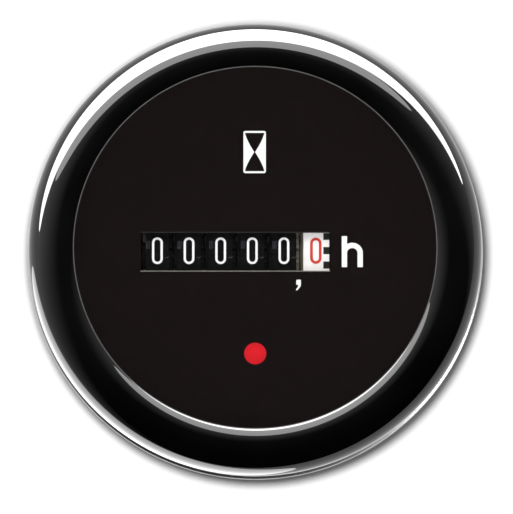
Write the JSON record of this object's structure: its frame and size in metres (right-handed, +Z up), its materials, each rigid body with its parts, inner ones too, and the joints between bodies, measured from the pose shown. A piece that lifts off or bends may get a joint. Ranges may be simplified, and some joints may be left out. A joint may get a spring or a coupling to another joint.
{
  "type": "hour meter",
  "caption": "Round panel hour meter: domed black bezel, flat glass, roller counter driven by a stepping motor, running indicator, ring nut and rear blade terminals.",
  "frame": {"origin": "centre of the panel hole, on the panel's front face", "axes": "+Y into the panel, along the barrel towards the terminals; the dial faces -Y; +Z up the dial; +X to the reader's right"},
  "size_m": [0.0586, 0.0525, 0.0586],
  "materials": {
    "bezel_black": "high gloss",
    "housing_black": "fine matt",
    "rim_metal": "bright",
    "clear_glass": "clear",
    "seal_rubber": "matt",
    "dial_black": "satin",
    "washer_steel": "zinc plated",
    "nut_black": "fine matt",
    "frame_plastic": "moulded",
    "screw_steel": "bright",
    "shaft_steel": "ground",
    "gear_plastic": "moulded, natural",
    "wheel_black": "matt",
    "wheel_white": "matt",
    "drum_red": "matt",
    "magnet_grey": "sintered",
    "soft_iron": "annealed",
    "bobbin_blue": "moulded",
    "copper_wire": "enamelled",
    "board_green": "lacquered",
    "crystal_can": "drawn",
    "chip_black": "moulded",
    "capacitor_sleeve": "sleeved",
    "blade_tin": "tin plated"
  },
  "bodies": {
    "meter_body": {"housing": "housing_black", "bezel": "bezel_black", "rim_ring": "rim_metal", "glass": "clear_glass", "glass_seal": "seal_rubber", "dial_spacer": "housing_black", "dial": "dial_black", "panel_seal": "seal_rubber", "movement_frame": "frame_plastic", "gear_plate": "frame_plastic", "gear_plate_screws": "screw_steel", "transfer_shaft": "shaft_steel", "stator": "soft_iron", "coil_core": "soft_iron", "coil_bobbin": "bobbin_blue", "coil_winding": "copper_wire", "motor_screws": "screw_steel", "circuit_board": "board_green", "quartz_crystal": "crystal_can", "driver_chip": "chip_black", "capacitor": "capacitor_sleeve", "diodes": "chip_black", "resistors": "chip_black", "blade_terminals": "blade_tin", "frame_screws": "screw_steel"},
    "tenths_group": {"tenths_wheel": "wheel_white", "counter_shaft": "shaft_steel", "drive_gear": "gear_plastic"},
    "units_wheel_body": {"units_wheel": "wheel_black"},
    "tens_wheel_body": {"tens_wheel": "wheel_black"},
    "hundreds_wheel_body": {"hundreds_wheel": "wheel_black"},
    "thousands_wheel_body": {"thousands_wheel": "wheel_black"},
    "ten_thousands_wheel_body": {"ten_thousands_wheel": "wheel_black"},
    "units_pinion_body": {"units_pinion": "wheel_black"},
    "tens_pinion_body": {"tens_pinion": "wheel_black"},
    "hundreds_pinion_body": {"hundreds_pinion": "wheel_black"},
    "thousands_pinion_body": {"thousands_pinion": "wheel_black"},
    "ten_thousands_pinion_body": {"ten_thousands_pinion": "wheel_black"},
    "third_group": {"third_gear": "gear_plastic", "third_arbor": "shaft_steel"},
    "second_group": {"second_gear": "gear_plastic", "second_arbor": "shaft_steel"},
    "indicator_group": {"indicator_drum": "drum_red", "indicator_arbor": "shaft_steel", "first_gear": "gear_plastic", "first_pinion": "gear_plastic"},
    "rotor_group": {"rotor_shaft": "shaft_steel", "rotor_magnet": "magnet_grey", "rotor_pinion": "gear_plastic"},
    "washer_body": {"nut_washer": "washer_steel"},
    "nut_body": {"ring_nut": "nut_black"}
  },
  "joints": [
    {"name": "tenths_turn", "type": "hinge", "parent": "meter_body", "child": "tenths_group", "pos_m": [0, 0.0046, 0], "axis": [-1, 0, 0], "continuous": true},
    {"name": "units_turn", "type": "hinge", "parent": "meter_body", "child": "units_wheel_body", "pos_m": [0, 0.0046, 0], "axis": [-1, 0, 0], "continuous": true},
    {"name": "tens_turn", "type": "hinge", "parent": "meter_body", "child": "tens_wheel_body", "pos_m": [0, 0.0046, 0], "axis": [-1, 0, 0], "continuous": true},
    {"name": "hundreds_turn", "type": "hinge", "parent": "meter_body", "child": "hundreds_wheel_body", "pos_m": [0, 0.0046, 0], "axis": [-1, 0, 0], "continuous": true},
    {"name": "thousands_turn", "type": "hinge", "parent": "meter_body", "child": "thousands_wheel_body", "pos_m": [0, 0.0046, 0], "axis": [-1, 0, 0], "continuous": true},
    {"name": "ten_thousands_turn", "type": "hinge", "parent": "meter_body", "child": "ten_thousands_wheel_body", "pos_m": [0, 0.0046, 0], "axis": [-1, 0, 0], "continuous": true},
    {"name": "units_pinion_turn", "type": "hinge", "parent": "meter_body", "child": "units_pinion_body", "pos_m": [0, 0.01187, 0.0042], "axis": [-1, 0, 0], "continuous": true},
    {"name": "tens_pinion_turn", "type": "hinge", "parent": "meter_body", "child": "tens_pinion_body", "pos_m": [0, 0.01187, 0.0042], "axis": [-1, 0, 0], "continuous": true},
    {"name": "hundreds_pinion_turn", "type": "hinge", "parent": "meter_body", "child": "hundreds_pinion_body", "pos_m": [0, 0.01187, 0.0042], "axis": [-1, 0, 0], "continuous": true},
    {"name": "thousands_pinion_turn", "type": "hinge", "parent": "meter_body", "child": "thousands_pinion_body", "pos_m": [0, 0.01187, 0.0042], "axis": [-1, 0, 0], "continuous": true},
    {"name": "ten_thousands_pinion_turn", "type": "hinge", "parent": "meter_body", "child": "ten_thousands_pinion_body", "pos_m": [0, 0.01187, 0.0042], "axis": [-1, 0, 0], "continuous": true},
    {"name": "third_turn", "type": "hinge", "parent": "meter_body", "child": "third_group", "pos_m": [0, 0.01102, -0.00327], "axis": [-1, 0, 0], "continuous": true},
    {"name": "second_turn", "type": "hinge", "parent": "meter_body", "child": "second_group", "pos_m": [0, 0.00907, -0.01051], "axis": [-1, 0, 0], "continuous": true},
    {"name": "indicator_turn", "type": "hinge", "parent": "meter_body", "child": "indicator_group", "pos_m": [0, 0.0023, -0.01297], "axis": [-1, 0, 0], "continuous": true},
    {"name": "rotor_turn", "type": "hinge", "parent": "meter_body", "child": "rotor_group", "pos_m": [0, 0.00741, -0.01429], "axis": [-1, 0, 0], "continuous": true},
    {"name": "washer_slide", "type": "slide", "parent": "meter_body", "child": "washer_body", "axis": [0, 1, 0], "range_m": [-0.0026, 0.0241]},
    {"name": "nut_turn", "type": "hinge", "parent": "washer_body", "child": "nut_body", "pos_m": [0, 0.007, 0], "axis": [0, 1, 0], "range_deg": [-300, 2880]}
  ],
  "couplings": [
    {"joint": "units_pinion_turn", "follows": "units_turn", "ratio": -2.5},
    {"joint": "tens_pinion_turn", "follows": "tens_turn", "ratio": -2.5},
    {"joint": "hundreds_pinion_turn", "follows": "hundreds_turn", "ratio": -2.5},
    {"joint": "thousands_pinion_turn", "follows": "thousands_turn", "ratio": -2.5},
    {"joint": "ten_thousands_pinion_turn", "follows": "ten_thousands_turn", "ratio": -2.5},
    {"joint": "third_turn", "follows": "tenths_turn", "ratio": -3},
    {"joint": "second_turn", "follows": "tenths_turn", "ratio": 12},
    {"joint": "indicator_turn", "follows": "tenths_turn", "ratio": -60},
    {"joint": "rotor_turn", "follows": "tenths_turn", "ratio": 300},
    {"joint": "washer_slide", "follows": "nut_turn", "m_per_rad": 0.00047746}
  ]
}
